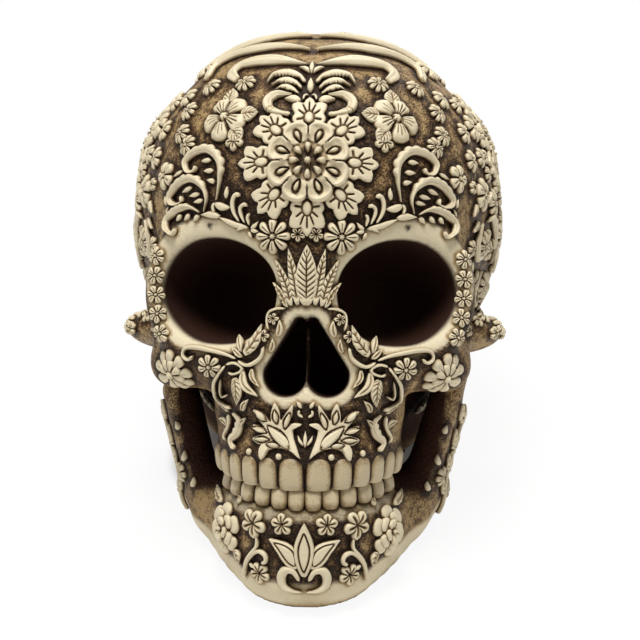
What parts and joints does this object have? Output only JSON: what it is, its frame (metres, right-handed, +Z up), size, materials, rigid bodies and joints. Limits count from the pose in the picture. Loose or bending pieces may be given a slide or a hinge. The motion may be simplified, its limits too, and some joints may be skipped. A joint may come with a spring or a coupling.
{
  "type": "halloween skull decoration",
  "caption": "Life-size ornamental skull for a table or shelf, cast resin in an antique bone finish, covered in raised flowers, leaves and scrolls.",
  "frame": {"origin": "middle of the footprint box, on the surface the skull stands on", "axes": "+Z up, the face looks towards -Y and leans back, +X to the right of someone facing it"},
  "size_m": [0.1466, 0.215, 0.1781],
  "materials": {
    "bone": "pitted cast resin with a brown antique wash",
    "relief": "rubbed ivory paint with brown in the hollows, satin",
    "teeth": "aged ivory paint, satin",
    "felt": "dark pressed felt"
  },
  "bodies": {
    "root": {"arch_flower_left": "relief", "arch_flower_right": "relief", "back_rosette": "relief", "back_scroll_1_left": "relief", "back_scroll_1_right": "relief", "back_scroll_2_left": "relief", "back_scroll_2_right": "relief", "base_plug": "bone", "bridge_leaves": "relief", "brow_flower_left": "relief", "brow_flower_right": "relief", "brow_scroll_1_left": "relief", "brow_scroll_1_right": "relief", "brow_scroll_2_left": "relief", "brow_scroll_2_right": "relief", "brow_scroll_3_left": "relief", "brow_scroll_3_right": "relief", "brow_sprig_left": "relief", "brow_sprig_right": "relief", "cheek_flower_left": "relief", "cheek_flower_right": "relief", "chin_flower_left": "relief", "chin_flower_right": "relief", "chin_lily": "relief", "cranium": "bone", "crown_crest": "relief", "crown_plume_1_left": "relief", "crown_plume_1_right": "relief", "crown_plume_2_left": "relief", "crown_plume_2_right": "relief", "crown_plume_3_left": "relief", "crown_plume_3_right": "relief", "forehead_leaf_1": "relief", "forehead_leaf_2": "relief", "forehead_leaf_3": "relief", "forehead_leaf_4": "relief", "forehead_leaf_5": "relief", "forehead_leaf_6": "relief", "forehead_leaf_7": "relief", "forehead_leaf_8": "relief", "forehead_rosette": "relief", "front_pad_left": "felt", "front_pad_right": "felt", "jaw": "bone", "jaw_rose_left": "relief", "jaw_rose_right": "relief", "lip_drop": "relief", "lip_leaves_left": "relief", "lip_leaves_right": "relief", "lower_teeth": "teeth", "nasal_septum": "bone", "ramus_leaf_left": "relief", "ramus_leaf_right": "relief", "rear_pad_left": "felt", "rear_pad_right": "felt", "side_flower_left": "relief", "side_flower_right": "relief", "temple_flower_left": "relief", "temple_flower_right": "relief", "upper_teeth": "teeth"}
  },
  "joints": []
}
